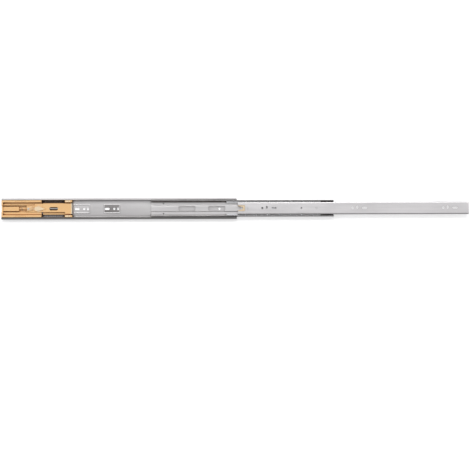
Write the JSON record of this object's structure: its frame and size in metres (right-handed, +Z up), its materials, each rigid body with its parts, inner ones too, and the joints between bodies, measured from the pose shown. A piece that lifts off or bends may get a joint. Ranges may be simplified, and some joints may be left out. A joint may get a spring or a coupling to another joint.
{
  "type": "drawer slide",
  "caption": "Full-extension ball-bearing drawer slide: three nested steel channels, caged balls and a tan soft-close unit at the rear.",
  "frame": {"origin": "front cabinet screw hole, 37 mm behind the cabinet channel's front edge, at mid height on the cabinet wall plane", "axes": "+X along the slide towards the front of the cabinet, +Z up, -Y from the cabinet wall towards the drawer"},
  "size_m": [0.992, 0.0127, 0.045],
  "materials": {
    "zinc_steel": "bright zinc-plated rolled steel",
    "dark_steel": "plain spring steel",
    "ball_steel": "polished",
    "tan_plastic": "moulded acetal, satin",
    "cream_plastic": "moulded acetal, satin",
    "black_plastic": "moulded, matt"
  },
  "bodies": {
    "cabinet_member": {"cabinet_channel": "zinc_steel", "soft_close_housing": "tan_plastic", "housing_rivets": "dark_steel", "end_buffers": "black_plastic", "damper_rod": "tan_plastic", "damper_piston": "black_plastic"},
    "soft_close_carriage": {"carriage": "tan_plastic", "head_pads": "cream_plastic", "head_bumper": "cream_plastic", "damper_cylinder": "dark_steel", "damper_cap": "black_plastic", "catch_pivot_pin": "dark_steel", "closing_spring_upper": "dark_steel", "closing_spring_lower": "dark_steel"},
    "catch": {"catch_pawl": "cream_plastic"},
    "outer_cage": {"outer_cage_upper": "dark_steel", "outer_cage_lower": "dark_steel", "outer_balls_upper": "ball_steel", "outer_balls_lower": "ball_steel"},
    "middle_member": {"middle_channel": "zinc_steel", "cage_buffer_upper": "black_plastic", "cage_buffer_lower": "black_plastic"},
    "inner_cage_body": {"inner_cage": "zinc_steel", "inner_balls_upper": "ball_steel", "inner_balls_lower": "ball_steel"},
    "drawer_member": {"drawer_channel": "zinc_steel", "drawer_striker": "tan_plastic", "striker_rivet": "dark_steel", "lever_rivet": "dark_steel"},
    "lever": {"release_lever": "black_plastic"}
  },
  "joints": [
    {"name": "middle_slide", "type": "slide", "parent": "cabinet_member", "child": "middle_member", "axis": [1, 0, 0], "range_m": [-0.2132, 0]},
    {"name": "drawer_slide", "type": "slide", "parent": "middle_member", "child": "drawer_member", "axis": [1, 0, 0], "range_m": [-0.2838, 0]},
    {"name": "outer_cage_roll", "type": "slide", "parent": "cabinet_member", "child": "outer_cage", "axis": [1, 0, 0], "range_m": [-0.1066, 0]},
    {"name": "inner_cage_roll", "type": "slide", "parent": "middle_member", "child": "inner_cage_body", "axis": [1, 0, 0], "range_m": [-0.1419, 0]},
    {"name": "carriage_slide", "type": "slide", "parent": "cabinet_member", "child": "soft_close_carriage", "axis": [1, 0, 0], "range_m": [-0.05, 0], "deforming": ["closing_spring_upper", "closing_spring_lower"]},
    {"name": "catch_tilt", "type": "hinge", "parent": "soft_close_carriage", "child": "catch", "pos_m": [-0.4054, -0.009, 0], "axis": [0, -1, 0], "range_deg": [-8, 0]},
    {"name": "release_lever", "type": "hinge", "parent": "drawer_member", "child": "lever", "pos_m": [0.206, -0.011, 0], "axis": [0, -1, 0], "range_deg": [0, 10], "stiffness_Nm_per_rad": 0.05, "springref_deg": -5.73}
  ],
  "couplings": [
    {"joint": "outer_cage_roll", "follows": "middle_slide", "ratio": 0.5},
    {"joint": "inner_cage_roll", "follows": "drawer_slide", "ratio": 0.5},
    {"joint": "carriage_slide", "follows": "middle_slide", "ratio": 0.2345}
  ]
}
